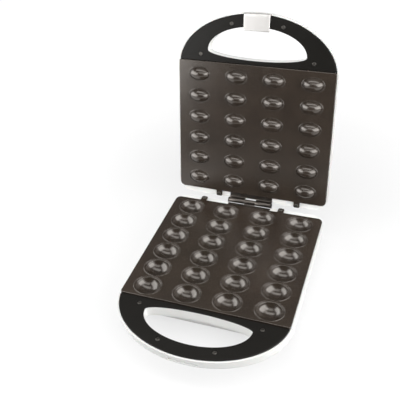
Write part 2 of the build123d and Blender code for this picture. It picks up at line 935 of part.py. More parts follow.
def hinge_leaf(axis_depth, knuckles):
    """A hinge leaf: rolled knuckles on the axis, a web to the flat and countersunk holes."""
    tip = leaf_top + leaf_thickness
    web_back = -hinge_back + barrel_radius / 2
    web_front = -hinge_back + barrel_radius
    with BuildPart() as leaf:
        with Locations((0, middle(leaf_back, leaf_front), middle(leaf_top, tip))):
            Box(2 * barrel_half_length, leaf_front - leaf_back, leaf_thickness)
        for low, high in knuckles:
            with BuildSketch(Plane.YZ.offset(low)):
                with BuildLine():
                    Polyline(
                        (web_back, axis_depth),
                        (web_front, axis_depth),
                        (web_front, leaf_top),
                        (leaf_back + overrun, leaf_top),
                        (leaf_back + overrun, tip),
                        (web_back, tip),
                        close=True,
                    )
                make_face()
                with Locations((-hinge_back, axis_depth)):
                    Circle(barrel_radius)
                    Circle(pin_radius + running_clearance, mode=Mode.SUBTRACT)
            extrude(amount=high - low)
        with Locations(*[(u, v, middle(leaf_top, tip)) for u, v in hinge_screw_places]):
            Cone(countersink_radius, small_shank + hole_gap, leaf_thickness, mode=Mode.SUBTRACT)
    return leaf.part


outer_knuckle = middle_knuckle + knuckle_gap
outer_knuckles = ((-barrel_half_length, -outer_knuckle), (outer_knuckle, barrel_half_length))
base_leaf = hinge_leaf(base_hinge_depth, ((-middle_knuckle, middle_knuckle),))
write(base_leaf, base_plane, "hinge_base_leaf", steel)
write(hinge_leaf(lid_hinge_depth, outer_knuckles), lid_plane, "hinge_lid_leaf", steel)

with BuildPart() as hinge_pin:
    with BuildSketch(Plane.YZ):
        with Locations((-hinge_back, base_hinge_depth)):
            Circle(pin_radius)
    extrude(amount=barrel_half_length + pin_play + pin_head, both=True)
    for s in (-1, 1):
        with BuildSketch(Plane.YZ.offset(s * (barrel_half_length + pin_play))):
            with Locations((-hinge_back, base_hinge_depth)):
                Circle(pin_head_radius)
        extrude(amount=s * pin_head)
write(hinge_pin.part, base_plane, "hinge_pin", steel)


# Latch clip and its pin

with BuildPart() as latch_clip:
    with BuildSketch(Plane.YZ) as section:
        end = latch_pivot_reach - latch_end
        bend = latch_pivot_reach + latch_knuckle
        with BuildLine():
            Polyline(
                (bend, latch_pivot_depth),
                (latch_pivot_reach, latch_pivot_depth),
                (latch_pivot_reach, latch_inner_face),
                (end + latch_lip, latch_inner_face),
                (end + latch_lip, latch_lip_depth),
                (end, latch_lip_depth),
                (end, latch_outer_face),
                (bend, latch_outer_face),
                close=True,
            )
        make_face()
        outside = section.vertices().group_by(Axis.Y)[0]
        fillet(outside.sort_by(Axis.X)[-1], latch_bend)
        outside = section.vertices().group_by(Axis.Y)[0]
        fillet(outside.sort_by(Axis.X)[0], latch_tip_round)
        with Locations((latch_pivot_reach, latch_pivot_depth)):
            Circle(latch_knuckle)
            Circle(latch_pin_radius + running_clearance, mode=Mode.SUBTRACT)
    extrude(amount=latch_half_width, both=True)
write(latch_clip.part, lid_plane, "latch_clip", steel)

with BuildPart() as latch_pin:
    with BuildSketch(Plane.YZ):
        with Locations((latch_pivot_reach, latch_pivot_depth)):
            Circle(latch_pin_radius)
    extrude(amount=latch_notch + cheek_thickness, both=True)
write(latch_pin.part, lid_plane, "latch_pin", steel)


# Feet

foot_grid = [(s * foot_across, foot_middle + t * foot_along) for s in (-1, 1) for t in (-1, 1)]
pads = rod(foot_grid, foot_radius, base_casing_depth, base_casing_depth + foot_height)
pegs = rod(foot_grid, foot_peg, base_casing_depth - casing_wall, base_casing_depth)
with BuildPart() as rubber_feet:
    add(pads)
    fillet(rubber_feet.faces().group_by(Axis.Z)[-1].edges(), foot_edge)
    add(pegs)
write(rubber_feet.part, base_plane, "rubber_feet", black)
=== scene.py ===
# Electric nut cookie maker, shown open: a coated plate of hollows below, a coated plate of
# bumps above, each in a white casing whose loop handle has a black inner frame.

import json
from math import cos, pi, radians, sin, sqrt

import bmesh
import bpy
from mathutils import Matrix, Vector

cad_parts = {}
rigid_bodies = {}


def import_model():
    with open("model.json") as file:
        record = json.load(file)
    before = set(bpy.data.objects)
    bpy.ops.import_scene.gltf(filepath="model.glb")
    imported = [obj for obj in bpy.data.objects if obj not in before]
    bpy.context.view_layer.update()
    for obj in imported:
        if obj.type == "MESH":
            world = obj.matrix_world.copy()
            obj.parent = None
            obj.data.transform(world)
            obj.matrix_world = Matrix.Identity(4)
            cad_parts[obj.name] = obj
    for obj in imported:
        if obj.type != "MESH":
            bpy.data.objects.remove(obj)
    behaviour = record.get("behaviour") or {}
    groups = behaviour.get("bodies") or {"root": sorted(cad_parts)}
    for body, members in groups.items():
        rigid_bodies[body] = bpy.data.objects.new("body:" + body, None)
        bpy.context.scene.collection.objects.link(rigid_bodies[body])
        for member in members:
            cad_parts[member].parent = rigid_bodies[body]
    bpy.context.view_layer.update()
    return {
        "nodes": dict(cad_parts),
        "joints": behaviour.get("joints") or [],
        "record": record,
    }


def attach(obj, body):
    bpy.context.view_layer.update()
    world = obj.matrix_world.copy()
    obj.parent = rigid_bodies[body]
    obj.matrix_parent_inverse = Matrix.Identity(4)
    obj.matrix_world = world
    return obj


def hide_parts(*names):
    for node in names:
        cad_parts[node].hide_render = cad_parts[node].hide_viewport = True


for leftover in list(bpy.data.objects):
    bpy.data.objects.remove(leftover)
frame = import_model()
scene = bpy.context.scene
print("frame loaded:", len(frame["nodes"]), "nodes")


# Places: each half has its own millimetres, with u across, v from the middle of the plate
# towards the handle, and w from the plate's face into the casing

hinge = {"back": 120.3, "drop": 1.0, "closedGap": 1.0}
lidJoint = next(joint for joint in frame["joints"] if joint["name"] == "lid_hinge")
hingePoint = Vector(lidJoint["pos_m"])


def halfPlace(across, inwards, lift):
    toMetres = Matrix.Translation(hingePoint) @ Matrix.Scale(0.001, 4)
    shift = Matrix.Translation((0, -hinge["back"], hinge["drop"] + lift))
    return toMetres @ shift @ Matrix.Diagonal((across, -1, inwards, 1))


def turnedAboutHinge(degrees):
    turn = Matrix.Rotation(radians(degrees), 4, "X")
    return Matrix.Translation(hingePoint) @ turn @ Matrix.Translation(-hingePoint)


baseHalf = halfPlace(1, -1, 0)
lidHalf = turnedAboutHinge(-lidJoint["range_deg"][1]) @ halfPlace(-1, 1, hinge["closedGap"])
acrossHalf = Matrix(((0, 0, 1, 0), (1, 0, 0, 0), (0, 1, 0, 0), (0, 0, 0, 1)))


# Finishes: an expression on values adds its Math nodes

class Value:
    def __init__(self, finish, socket):
        self.finish = finish
        self.socket = socket

    def out(self, name):
        return Value(self.finish, self.socket.node.outputs[name])

    def sum(self, operation, first, second):
        return self.finish.node("ShaderNodeMath", {"operation": operation}, {0: first, 1: second})

    def __add__(self, other):
        return self.sum("ADD", self, other)

    def __radd__(self, other):
        return self.sum("ADD", other, self)

    def __sub__(self, other):
        return self.sum("SUBTRACT", self, other)

    def __rsub__(self, other):
        return self.sum("SUBTRACT", other, self)

    def __mul__(self, other):
        return self.sum("MULTIPLY", self, other)

    def __rmul__(self, other):
        return self.sum("MULTIPLY", other, self)


class Finish:
    def __init__(self, name):
        self.material = bpy.data.materials.new(name)
        self.material.use_nodes = True
        self.tree = self.material.node_tree
        self.shader = self.tree.nodes["Principled BSDF"]
        self.place = self.node("ShaderNodeTexCoord").out("Object")

    def node(self, kind, settings={}, sockets={}):
        made = self.tree.nodes.new(kind)
        for name, value in settings.items():
            setattr(made, name, value)
        for name, value in sockets.items():
            self.join(made.inputs[name], value)
        return Value(self, made.outputs[0])

    def join(self, socket, value):
        if isinstance(value, Value):
            self.tree.links.new(value.socket, socket)
        else:
            socket.default_value = value

    def give(self, **values):
        for name, value in values.items():
            self.join(self.shader.inputs[socketNames[name]], value)

    # Noise whose features are about this many millimetres across
    def grain(self, size, detail=3.0, roughness=0.55, stretch=None):
        place = self.place
        if stretch:
            place = self.node("ShaderNodeMapping", {}, {"Vector": place, "Scale": stretch})
        sockets = {"Vector": place, "Scale": 1000 / size, "Detail": detail, "Roughness": roughness}
        return self.node("ShaderNodeTexNoise", {}, sockets)

    def specks(self, size):
        sockets = {"Vector": self.place, "Scale": 1000 / size}
        return self.node("ShaderNodeTexVoronoi", {"feature": "F1"}, sockets)

    # Where a value goes from low to high, this goes from 0 to 1
    def mask(self, value, low, high):
        sockets = {"Value": value, "From Min": low, "From Max": high}
        return self.node("ShaderNodeMapRange", {"interpolation_type": "SMOOTHSTEP"}, sockets)

    def between(self, first, second, share):
        made = self.node("ShaderNodeMix", {"data_type": "RGBA"}, {0: share, 6: first, 7: second})
        return Value(self, made.socket.node.outputs[2])

    def relief(self, height, depth, under=None):
        sockets = {"Height": height, "Distance": depth / 1000, "Strength": 1.0}
        if under:
            sockets["Normal"] = under
        return self.node("ShaderNodeBump", {}, sockets)


socketNames = {
    "colour": "Base Color",
    "metal": "Metallic",
    "roughness": "Roughness",
    "ior": "IOR",
    "normal": "Normal",
    "specular": "Specular IOR Level",
    "specularTint": "Specular Tint",
    "transmission": "Transmission Weight",
    "inside": "Subsurface Weight",
    "insideScale": "Subsurface Scale",
}


def asColour(red, green, blue):
    def linear(level):
        share = level / 255
        return share / 12.92 if share <= 0.04045 else ((share + 0.055) / 1.055) ** 2.4
    return (linear(red), linear(green), linear(blue), 1)


castFinish = {
    "dark": asColour(41, 34, 28),
    "light": asColour(48, 40, 33),
    "speck": asColour(64, 57, 51),
    "roughness": 0.23,
    "sheenTint": (1.0, 0.95, 0.9, 1),
    "ior": 1.8,
    "orangePeel": 0.55,
    "relief": 0.012,
}


# The non-stick coating: satin, with soft clouds, fine specks and a faint orange peel
def castCoating(name):
    finish = Finish(name)
    clouds = finish.grain(38, detail=4)
    fine = finish.grain(0.9, detail=2)
    specks = 1 - finish.mask(finish.specks(1.3), 0.06, 0.16)
    rub = finish.mask(finish.grain(14, detail=6, roughness=0.7), 0.52, 0.7)
    tone = finish.between(castFinish["dark"], castFinish["light"], finish.mask(clouds, 0.3, 0.7))
    tone = finish.between(tone, castFinish["speck"], specks * fine * 0.3)
    peel = finish.grain(castFinish["orangePeel"], detail=1)
    finish.give(
        colour=tone,
        roughness=castFinish["roughness"] + (clouds - 0.5) * 0.05 + rub * 0.03,
        ior=castFinish["ior"],
        specularTint=castFinish["sheenTint"],
        normal=finish.relief(peel + fine * 0.4, castFinish["relief"]),
    )
    return finish.material


whiteFinish = {"low": asColour(226, 226, 223), "high": asColour(235, 235, 233), "roughness": 0.34}


# Moulded casing plastic: a satin skin with a very fine spark grain and slight sinks
def casingPlastic(name):
    finish = Finish(name)
    clouds = finish.grain(60, detail=3)
    spark = finish.grain(0.7, detail=2)
    sinks = finish.grain(45, detail=1)
    finish.give(
        colour=finish.between(whiteFinish["low"], whiteFinish["high"], clouds),
        roughness=whiteFinish["roughness"] + (spark - 0.5) * 0.1 + (clouds - 0.5) * 0.06,
        normal=finish.relief(spark, 0.006, finish.relief(sinks, 0.12)),
        inside=0.04,
        insideScale=0.002,
    )
    return finish.material


blackFinish = {
    "low": asColour(16, 15, 13),
    "high": asColour(24, 22, 19),
    "roughness": 0.36,
    "specular": 0.22,
}


# The frames' black plastic: satin, with a fine leather-like spark and faint wiping marks
def framePlastic(name, size=0.8, depth=0.012):
    finish = Finish(name)
    clouds = finish.grain(26, detail=4)
    spark = finish.grain(size, detail=2)
    wipes = finish.grain(9, detail=5, roughness=0.7, stretch=(0.35, 1, 1))
    finish.give(
        colour=finish.between(blackFinish["low"], blackFinish["high"], clouds * 0.6 + spark * 0.4),
        roughness=blackFinish["roughness"] + (wipes - 0.5) * 0.14,
        normal=finish.relief(spark, depth),
        specular=blackFinish["specular"],
    )
    return finish.material


# Drawn or rolled metal: streaks along one way, pits and slight stains
def drawnMetal(name, low, high, roughness, stretch, depth=0.01, stain=0.0, vary=1.0):
    finish = Finish(name)
    streaks = finish.grain(1.2, detail=5, roughness=0.65, stretch=stretch)
    clouds = finish.grain(11, detail=4)
    pits = 1 - finish.mask(finish.specks(0.9), 0.03, 0.12)
    tone = finish.between(low, high, streaks * 0.6 + clouds * 0.4)
    if stain:
        dull = finish.mask(finish.grain(5, detail=6, roughness=0.7), 0.55, 0.72) * stain
        tone = finish.between(tone, asColour(70, 58, 46), dull)
    finish.give(
        colour=tone,
        metal=1.0,
        roughness=roughness + (streaks - 0.5) * (0.2 * vary) + (clouds - 0.5) * (0.1 * vary),
        normal=finish.relief(streaks - pits * 0.6, depth),
    )
    return finish.material


hingeFinish = {
    "low": asColour(88, 82, 77),
    "high": asColour(122, 116, 110),
    "worn": asColour(30, 27, 24),
    "roughness": 0.3,
    "ends": (0.0352, 0.0362),
}


# Hinge steel: rolled along the pin, with oxide-black pin heads and grime at the joints
def hingeMetal(name):
    finish = Finish(name)
    rolled = finish.grain(1.4, detail=4, roughness=0.6, stretch=(0.15, 1, 1))
    grime = finish.mask(finish.grain(4, detail=5, roughness=0.65), 0.55, 0.75)
    across = finish.node("ShaderNodeSeparateXYZ", {}, {"Vector": finish.place})
    reach = finish.node("ShaderNodeMath", {"operation": "ABSOLUTE"}, {0: across})
    ends = finish.mask(reach, *hingeFinish["ends"])
    tone = finish.between(hingeFinish["low"], hingeFinish["high"], rolled)
    tone = finish.between(tone, hingeFinish["worn"], ends + grime * 0.3 * (1 - ends))
    finish.give(
        colour=tone,
        metal=1 - ends * 0.6,
        roughness=hingeFinish["roughness"] + (rolled - 0.5) * 0.08 + ends * 0.15,
        normal=finish.relief(rolled, 0.004),
    )
    return finish.material


# Rubber: matt, pale at the rubs
def footRubber(name):
    finish = Finish(name)
    grain = finish.grain(0.9, detail=4)
    rub = finish.mask(finish.grain(7, detail=4), 0.5, 0.75)
    finish.give(
        colour=finish.between(asColour(30, 30, 29), asColour(62, 61, 58), rub * 0.5 + grain * 0.2),
        roughness=0.7 + grain * 0.15,
        normal=finish.relief(grain, 0.05),
    )
    return finish.material


# Fired or pressed insulators: chalky, with darker grains
def insulator(name, low, high, roughness):
    finish = Finish(name)
    grain = finish.grain(0.6, detail=5)
    dots = 1 - finish.mask(finish.specks(1.6), 0.1, 0.3)
    finish.give(
        colour=finish.between(low, high, grain * 0.7 + dots * 0.3),
        roughness=roughness + grain * 0.1,
        normal=finish.relief(grain, 0.03),
    )
    return finish.material


# Braided sleeve: two sets of threads that cross
def braidedSleeve(name):
    finish = Finish(name)
    sockets = {"Vector": finish.place, "Scale": 700.0, "Distortion": 0.4}
    one = finish.node("ShaderNodeTexWave", {"bands_direction": "DIAGONAL"}, sockets)
    turned = finish.node(
        "ShaderNodeMapping", {}, {"Vector": finish.place, "Scale": (1, -1, 1)}
    )
    sockets["Vector"] = turned
    two = finish.node("ShaderNodeTexWave", {"bands_direction": "DIAGONAL"}, sockets)
    threads = one * 0.5 + two * 0.5
    finish.give(
        colour=finish.between(asColour(150, 146, 134), asColour(214, 210, 198), threads),
        roughness=0.7 + threads * 0.1,
        normal=finish.relief(threads, 0.1),
    )
    return finish.material


# Clear moulded lens plastic in one colour, with fine rings of the moulding and slight clouds
def lensPlastic(name, low, high, transmission):
    finish = Finish(name)
    clouds = finish.grain(2.5, detail=3)
    finish.give(
        colour=finish.between(low, high, clouds),
        roughness=0.12 + clouds * 0.08,
        transmission=transmission,
        normal=finish.relief(finish.grain(1.1, detail=1), 0.02),
    )
    return finish.material


finishes = {
    "cast_plate": castCoating("castCoating"),
    "white_shell": casingPlastic("casingPlastic"),
    "black_frame": framePlastic("framePlastic"),
    "gland_black": framePlastic("glandPlastic", 0.5, 0.02),
    "bright_steel": drawnMetal(
        "screwSteel", asColour(78, 76, 72), asColour(118, 115, 110), 0.34, (1, 1, 1)
    ),
    "hinge_steel": hingeMetal("hingeSteel"),
    "clip_metal": drawnMetal(
        "clipMetal", asColour(232, 229, 226), asColour(242, 240, 237), 0.42, (0.1, 1, 1), 0.0012, 0, 0.3
    ),
    "element_sheath": drawnMetal(
        "elementSheath", asColour(74, 70, 64), asColour(116, 106, 94), 0.5, (1, 0.3, 0.3), 0.03, 0.6
    ),
    "tray_sheet": drawnMetal(
        "trayCoating", asColour(150, 152, 152), asColour(190, 192, 192), 0.38, (1, 0.25, 0.25), 0.01, 0.2
    ),
    "rubber_foot": footRubber("footRubber"),
    "block_ceramic": insulator("blockCeramic", asColour(205, 200, 190), asColour(232, 228, 220), 0.55),
    "phenolic": insulator("phenolic", asColour(64, 38, 24), asColour(104, 66, 42), 0.45),
    "wire_sleeve": braidedSleeve("wireSleeve"),
    "lamp_glass": lensPlastic("lampGlass", asColour(220, 150, 90), asColour(240, 186, 130), 0.6),
    "red_lens": lensPlastic("redLens", asColour(150, 22, 16), asColour(196, 36, 26), 0.35),
    "green_lens": lensPlastic("greenLens", asColour(22, 112, 40), asColour(40, 150, 60), 0.35),
}
for subpart in frame["record"]["subparts"]:
    frame["nodes"][subpart["node"]].material_slots[0].material = finishes[subpart["material_slot"]]
print("finishes made:", len(finishes))


# Outlines run with the material on their left: round the outside one way, round holes the other

def softCorners(corners, steps=6):
    loop = []
    for i, (x, y, radius) in enumerate(corners):
        corner = Vector((x, y))
        before = (corner - Vector(corners[i - 1][:2])).normalized()
        after = (Vector(corners[(i + 1) % len(corners)][:2]) - corner).normalized()
        turn = before.angle_signed(after) * -1
        if radius == 0:
            loop.append((x, y))
            continue
        reach = radius * abs(sin(turn / 2) / cos(turn / 2))
        side = 1 if turn > 0 else -1
        start = corner - before * reach
        centre = start + Vector((-before.y, before.x)) * radius * side
        for k in range(steps + 1):
            loop.append(tuple(centre + Matrix.Rotation(turn * k / steps, 2) @ (start - centre)))
    return loop


def ringOf(u, v, radiusU, radiusV, steps, way=1):
    angles = [way * 2 * pi * k / steps for k in range(steps)]
    return [(u + radiusU * cos(a), v + radiusV * sin(a)) for a in angles]


def drawnIn(loop, amount):
    moved = []
    for i, (x, y) in enumerate(loop):
        before = Vector((x - loop[i - 1][0], y - loop[i - 1][1])).normalized()
        after = Vector((loop[(i + 1) % len(loop)][0] - x, loop[(i + 1) % len(loop)][1] - y)).normalized()
        middle = (before + after).normalized()
        amountHere = amount / max(0.6, middle.dot(before))
        moved.append((x - middle.y * amountHere, y + middle.x * amountHere))
    return moved


def ringAt(mesh, loop, depth):
    return [mesh.verts.new((x, y, depth)) for x, y in loop]


def bridge(mesh, rings):
    for first, second in zip(rings, rings[1:]):
        for i in range(len(first)):
            mesh.faces.new((first[i - 1], first[i], second[i], second[i - 1]))


def cap(mesh, rings):
    edges = []
    for ring in rings:
        for i in range(len(ring)):
            pair = (ring[i - 1], ring[i])
            edges.append(mesh.edges.get(pair) or mesh.edges.new(pair))
    bmesh.ops.triangle_fill(mesh, use_beauty=True, edges=edges)


# A flat piece between two depths with softened edges, and pockets (u, v, radius, depth)
def slab(mesh, outlines, top, bottom, soft, pockets=()):
    rows = (
        (soft + 0.3, top),
        (soft, top),
        (0.62 * soft, top + 0.08 * soft),
        (0.29 * soft, top + 0.29 * soft),
        (0.08 * soft, top + 0.62 * soft),
        (0, top + soft),
        (0, bottom - soft),
        (0.29 * soft, bottom - 0.29 * soft),
        (soft, bottom),
        (soft + 0.3, bottom),
    )
    pocketRows = ((0.4, top), (0.2, top), (0.06, top + 0.06), (0, top + 0.2))
    faceEdges = []
    backEdges = []
    for outline in outlines:
        rings = [ringAt(mesh, drawnIn(outline, inset), depth) for inset, depth in rows]
        bridge(mesh, rings)
        faceEdges.append(rings[0])
        backEdges.append(rings[-1])
    for u, v, radius, depth in pockets:
        hole = ringOf(u, v, radius, radius, 32, -1)
        rings = [ringAt(mesh, drawnIn(hole, inset), level) for inset, level in pocketRows]
        rings.append(ringAt(mesh, hole, depth))
        bridge(mesh, rings)
        mesh.faces.new(rings[-1])
        faceEdges.append(rings[0])
    cap(mesh, faceEdges)
    cap(mesh, backEdges)


def closeMesh(mesh, name):
    bmesh.ops.remove_doubles(mesh, verts=mesh.verts, dist=0.002)
    bmesh.ops.recalc_face_normals(mesh, faces=mesh.faces)
    for face in mesh.faces:
        face.smooth = abs(face.normal.z) < 0.9999
    for edge in mesh.edges:
        edge.smooth = edge.calc_face_angle(0) < radians(38)
    data = bpy.data.meshes.new(name)
    mesh.to_mesh(data)
    mesh.free()
    return data


def addPiece(name, data, place, body, slot, *nodes):
    data.transform(place)
    data.materials.clear()
    data.materials.append(finishes[slot])
    piece = bpy.data.objects.new(name, data)
    scene.collection.objects.link(piece)
    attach(piece, body)
    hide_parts(*nodes)
    return piece


# Repeats: trees that set one piece on a grid, or on the points of a mesh

def repeatTree(name, extra):
    tree = bpy.data.node_groups.new(name, "GeometryNodeTree")
    ways = {"Geometry": "NodeSocketGeometry", "Piece": "NodeSocketObject", "Finish": "NodeSocketMaterial"}
    ways.update(extra)
    for label, kind in ways.items():
        tree.interface.new_socket(label, in_out="INPUT", socket_type=kind)
    tree.interface.new_socket("Geometry", in_out="OUTPUT", socket_type="NodeSocketGeometry")
    given = tree.nodes.new("NodeGroupInput")
    info = tree.nodes.new("GeometryNodeObjectInfo")
    setOn = tree.nodes.new("GeometryNodeInstanceOnPoints")
    realize = tree.nodes.new("GeometryNodeRealizeInstances")
    setFinish = tree.nodes.new("GeometryNodeSetMaterial")
    result = tree.nodes.new("NodeGroupOutput")
    join = tree.links.new
    join(given.outputs["Piece"], info.inputs["Object"])
    join(info.outputs["Geometry"], setOn.inputs["Instance"])
    join(setOn.outputs["Instances"], realize.inputs["Geometry"])
    join(given.outputs["Finish"], setFinish.inputs["Material"])
    join(setFinish.outputs["Geometry"], result.inputs["Geometry"])
    return tree, given, setOn, realize, setFinish


def mouldTree():
    extra = {
        "Columns": "NodeSocketInt",
        "Rows": "NodeSocketInt",
        "Column Pitch": "NodeSocketFloat",
        "Row Pitch": "NodeSocketFloat",
    }
    tree, given, setOn, realize, setFinish = repeatTree("mouldGrid", extra)
    grid = tree.nodes.new("GeometryNodeMeshGrid")
    join = tree.links.new
    for count, pitch, points, size in (
        ("Columns", "Column Pitch", "Vertices X", "Size X"),
        ("Rows", "Row Pitch", "Vertices Y", "Size Y"),
    ):
        join(given.outputs[count], grid.inputs[points])
        span = tree.nodes.new("ShaderNodeMath")
        span.operation = "MULTIPLY_ADD"
        join(given.outputs[count], span.inputs[0])
        join(given.outputs[pitch], span.inputs[1])
        back = tree.nodes.new("ShaderNodeMath")
        back.operation = "MULTIPLY"
        back.inputs[1].default_value = -1
        join(given.outputs[pitch], back.inputs[0])
        join(back.outputs[0], span.inputs[2])
        join(span.outputs[0], grid.inputs[size])
    merge = tree.nodes.new("GeometryNodeMergeByDistance")
    merge.inputs["Distance"].default_value = 0.01
    join(grid.outputs["Mesh"], setOn.inputs["Points"])
    join(realize.outputs["Geometry"], merge.inputs["Geometry"])
    join(merge.outputs["Geometry"], setFinish.inputs["Geometry"])
    return tree


def screwTree():
    tree, given, setOn, realize, setFinish = repeatTree("screwPlaces", {"Seed": "NodeSocketInt"})
    turn = tree.nodes.new("FunctionNodeRandomValue")
    turn.data_type = "FLOAT_VECTOR"
    turn.inputs[0].default_value = (0, 0, 0)
    turn.inputs[1].default_value = (0, 0, pi / 2)
    join = tree.links.new
    join(given.outputs["Seed"], turn.inputs["Seed"])
    join(given.outputs["Geometry"], setOn.inputs["Points"])
    join(turn.outputs[0], setOn.inputs["Rotation"])
    join(realize.outputs["Geometry"], setFinish.inputs["Geometry"])
    return tree


def repeated(tree, pieceMesh, pointMesh, **settings):
    piece = bpy.data.objects.new("repeatedPiece", pieceMesh)
    holder = bpy.data.objects.new("repeatHolder", pointMesh)
    scene.collection.objects.link(piece)
    scene.collection.objects.link(holder)
    modifier = holder.modifiers.new("repeat", "NODES")
    modifier.node_group = tree
    values = {"Piece": piece, **settings}
    for item in tree.interface.items_tree:
        label = item.name.replace(" ", "")
        if item.in_out == "INPUT" and label in values:
            modifier[item.identifier] = values[label]
    seen = holder.evaluated_get(bpy.context.evaluated_depsgraph_get())
    result = bpy.data.meshes.new_from_object(seen)
    holder.modifiers.remove(modifier)
    bpy.data.objects.remove(holder)
    bpy.data.objects.remove(piece)
    return result


# Cooking plates

plate = {
    "width": 250.0,
    "length": 216.0,
    "thickness": 3.2,
    "backCorner": 8.0,
    "frontCorner": 2.5,
    "edge": 0.9,
    "columns": 4,
    "rows": 6,
    "columnPitch": 60.5,
    "rowPitch": 35.0,
    "steps": 96,
    "ears": (-78.0, 55.0),
    "earWidth": 10.0,
    "earEnd": 117.6,
}
hollow = {"rim": (21.75, 17.46), "bowl": (19.45, 16.14), "rise": 4.14, "lip": 1.5}
bump = {"ring": (17.9, 11.9), "dome": (16.27, 10.37), "rise": 1.87}
underside = {"foot": (20.2, 17.18), "depth": 14.6}


def plateOutline():
    side = plate["width"] / 2
    end = plate["length"] / 2
    half = plate["earWidth"] / 2
    corners = [(-side, -end, plate["backCorner"])]
    for ear in plate["ears"]:
        corners += [(ear - half, -end, 1.2), (ear - half, -plate["earEnd"], 2.2)]
        corners += [(ear + half, -plate["earEnd"], 2.2), (ear + half, -end, 1.2)]
    corners += [(side, -end, plate["backCorner"])]
    corners += [(side, end, plate["frontCorner"]), (-side, end, plate["frontCorner"])]
    return softCorners(corners)


# One hollow: (half length, half width, depth) from the face inwards
def hollowRings():
    rimU, rimV = hollow["rim"]
    bowlU, bowlV = hollow["bowl"]
    lipCos = (hollow["lip"] + hollow["rise"]) / bowlV
    lipU = bowlU * sqrt(1 - lipCos ** 2)
    lipV = bowlV * sqrt(1 - lipCos ** 2)
    rim = (
        (0, 0), (0.04, -0.06), (0.09, -0.22), (0.14, -0.32), (0.19, -0.34), (0.24, -0.27), (0.28, -0.05),
        (0.31, 0.3), (0.34, 0.66), (0.38, 0.86), (0.44, 0.93), (0.66, 0.95), (0.78, 0.98), (0.88, 1.1),
        (0.95, 1.28),
    )
    rings = [(rimU + (lipU - rimU) * s, rimV + (lipV - rimV) * s, depth) for s, depth in rim]
    for k in range(14):
        share = 1 - k / 14
        spread = sin(share * pi / 2 * 0.78) / sin(pi / 2 * 0.78)
        reach = spread * sqrt(1 - lipCos ** 2)
        rings.append((bowlU * reach, bowlV * reach, bowlV * sqrt(1 - reach ** 2) - hollow["rise"]))
    rings.append((0, 0, bowlV - hollow["rise"]))
    return rings


def bumpRings():
    ringU, ringV = bump["ring"]
    rings = [(ringU - inset, ringV - inset, depth) for inset, depth in (
        (0, 0), (0.12, -0.06), (0.35, -0.24), (0.6, -0.3), (0.85, -0.22), (1.0, 0.0), (1.15, 0.22),
        (1.4, 0.32), (1.65, 0.26), (1.8, 0.12),
    )]
    domeU, domeV = bump["dome"]
    footReach = sqrt(1 - (bump["rise"] / domeV) ** 2)
    for k in range(14):
        share = 1 - k / 14
        reach = footReach * sin(share * pi / 2 * 0.8) / sin(pi / 2 * 0.8)
        rings.append((domeU * reach, domeV * reach, bump["rise"] - domeV * sqrt(1 - reach ** 2)))
    rings.append((0, 0, bump["rise"] - domeV))
    return rings


def undersideRings(domed):
    footU, footV = underside["foot"]
    rings = [(footU, footV, plate["thickness"])]
    deep = underside["depth"] - plate["thickness"] if domed else 0
    for share in (0.85, 0.62, 0.36):
        rings.append((footU * share, footV * share, plate["thickness"] + deep * sqrt(1 - share ** 2)))
    rings.append((0, 0, plate["thickness"] + deep))
    return rings


# A square of plate round one mould, whose sides meet the next squares point for point
def mouldCell(name, rings, face):
    steps = plate["steps"]
    halfU = plate["columnPitch"] / 2
    halfV = plate["rowPitch"] / 2
    border = []
    for k in range(steps):
        turn = 8 * k / steps
        x = max(-1, min(1, 2 - turn if turn < 4 else turn - 6))
        y = max(-1, min(1, turn if turn < 2 else (4 - turn if turn < 6 else turn - 8)))
        border.append((halfU * x, halfV * y))
    mesh = bmesh.new()
    made = [ringAt(mesh, border, face)]
    for radiusU, radiusV, depth in rings[:-1]:
        made.append(ringAt(mesh, ringOf(0, 0, radiusU, radiusV, steps), depth))
    bridge(mesh, made)
    centre = mesh.verts.new((0, 0, rings[-1][2]))
    for i in range(steps):
        mesh.faces.new((made[-1][i - 1], made[-1][i], centre))
    data = bpy.data.meshes.new(name)
    mesh.to_mesh(data)
    mesh.free()
    return data


def gridEdge():
    across = plate["columns"] * plate["columnPitch"] / 2
    along = plate["rows"] * plate["rowPitch"] / 2
    quarter = plate["steps"] // 4
    countU = plate["columns"] * quarter
    countV = plate["rows"] * quarter
    loop = [(-across + 2 * across * k / countU, along) for k in range(countU)]
    loop += [(across, along - 2 * along * k / countV) for k in range(countV)]
    loop += [(across - 2 * across * k / countU, -along) for k in range(countU)]
    loop += [(-across, -along + 2 * along * k / countV) for k in range(countV)]
    return loop


def cookingPlate(name, rings, domed, place, body, node, posts):
    settings = {
        "Columns": plate["columns"],
        "Rows": plate["rows"],
        "ColumnPitch": plate["columnPitch"],
        "RowPitch": plate["rowPitch"],
        "Finish": finishes["cast_plate"],
    }
    mesh = bmesh.new()
    for cell in (
        mouldCell("faceCell", rings, 0),
        mouldCell("backCell", undersideRings(domed), plate["thickness"]),
    ):
        mesh.from_mesh(repeated(moulds, cell, bpy.data.meshes.new("grid"), **settings))
    edge = plate["edge"]
    thick = plate["thickness"]
    rows = (
        (edge + 0.3, 0),
        (edge, 0),
        (0.62 * edge, 0.08 * edge),
        (0.29 * edge, 0.29 * edge),
        (0.08 * edge, 0.62 * edge),
        (0, edge),
        (0, thick - 0.5),
        (0.15, thick - 0.15),
        (0.5, thick),
    )
    outline = plateOutline()
    rings = [ringAt(mesh, drawnIn(outline, inset), depth) for inset, depth in rows]
    bridge(mesh, rings)
    cap(mesh, [rings[0], ringAt(mesh, gridEdge(), 0)])
    cap(mesh, [rings[-1], ringAt(mesh, gridEdge(), thick)])
    bmesh.ops.remove_doubles(mesh, verts=mesh.verts, dist=0.002)
    plateBack(mesh, posts)
    return addPiece(name, closeMesh(mesh, name), place, body, "cast_plate", node)


